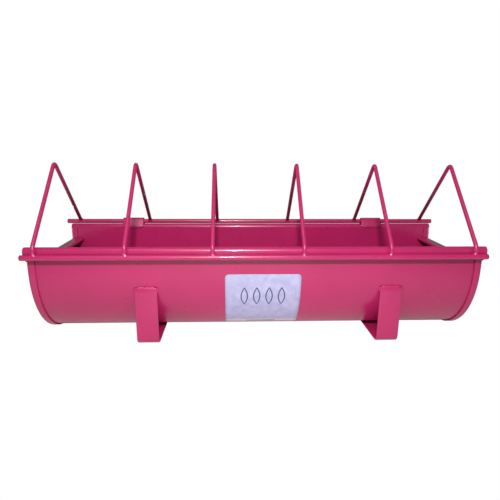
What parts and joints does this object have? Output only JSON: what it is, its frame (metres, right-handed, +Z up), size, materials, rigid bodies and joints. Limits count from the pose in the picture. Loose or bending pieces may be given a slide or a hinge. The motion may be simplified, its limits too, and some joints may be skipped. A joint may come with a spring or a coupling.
{
  "type": "trough feeder",
  "caption": "Long oval-bottomed sheet-metal feeding trough on strap feet, with a hinged lift-over guard of bent wires across its open top.",
  "frame": {"origin": "on the ground, below the middle of the trough", "axes": "+X along the trough, +Y from the front lip to the hinge rod on the back lip, +Z up"},
  "size_m": [0.5096, 0.1592, 0.2005],
  "materials": {
    "pink_coat": "gloss powder coat",
    "label_film": "satin printed film"
  },
  "bodies": {
    "trough": {"trough_body": "pink_coat", "end_cap_left": "pink_coat", "end_cap_right": "pink_coat", "hinge_strap_left": "pink_coat", "hinge_strap_right": "pink_coat", "foot_left": "pink_coat", "foot_right": "pink_coat", "label": "label_film"},
    "guard": {"hinge_rod": "pink_coat", "front_rod": "pink_coat", "wire_1": "pink_coat", "wire_2": "pink_coat", "wire_3": "pink_coat", "wire_4": "pink_coat", "wire_5": "pink_coat", "wire_6": "pink_coat"}
  },
  "joints": [
    {"name": "guard_hinge", "type": "hinge", "parent": "trough", "child": "guard", "pos_m": [0, 0.0726, 0.11818], "axis": [-1, 0, 0], "range_deg": [0, 165]}
  ]
}
